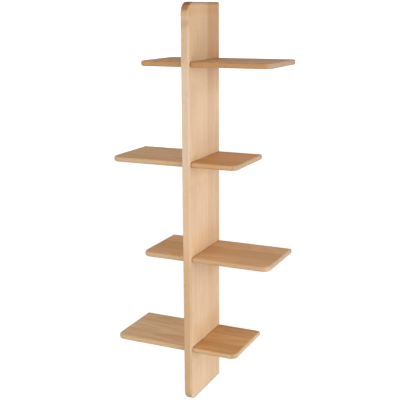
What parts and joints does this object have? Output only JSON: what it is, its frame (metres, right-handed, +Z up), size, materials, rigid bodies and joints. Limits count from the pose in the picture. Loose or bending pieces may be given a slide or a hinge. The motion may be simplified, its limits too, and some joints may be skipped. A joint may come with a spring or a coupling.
{
  "type": "wall shelf",
  "caption": "Narrow wall shelf of pale solid wood: an upright board on edge, half-lapped with short shelves set to alternating sides, hung on keyhole plates.",
  "frame": {"origin": "on the wall plane, midway between the entry holes of the two keyhole hangers, in the middle of the upright's back edge", "axes": "+X to the right along the wall, seen from the room; +Y into the wall; +Z up. The front faces -Y."},
  "size_m": [0.508, 0.215, 1.2],
  "materials": {
    "upright_wood": "oiled pale hardwood, matt, grain up the board",
    "shelf_wood": "oiled pale hardwood, matt, grain along the board",
    "hanger_steel": "zinc-plated sheet steel",
    "screw_steel": "yellow-passivated zinc"
  },
  "bodies": {
    "root": {"upright": "upright_wood", "shelf_top": "shelf_wood", "shelf_upper": "shelf_wood", "shelf_lower": "shelf_wood", "shelf_bottom": "shelf_wood", "hanger_top": "hanger_steel", "hanger_bottom": "hanger_steel", "hanger_screws": "screw_steel"}
  },
  "joints": []
}
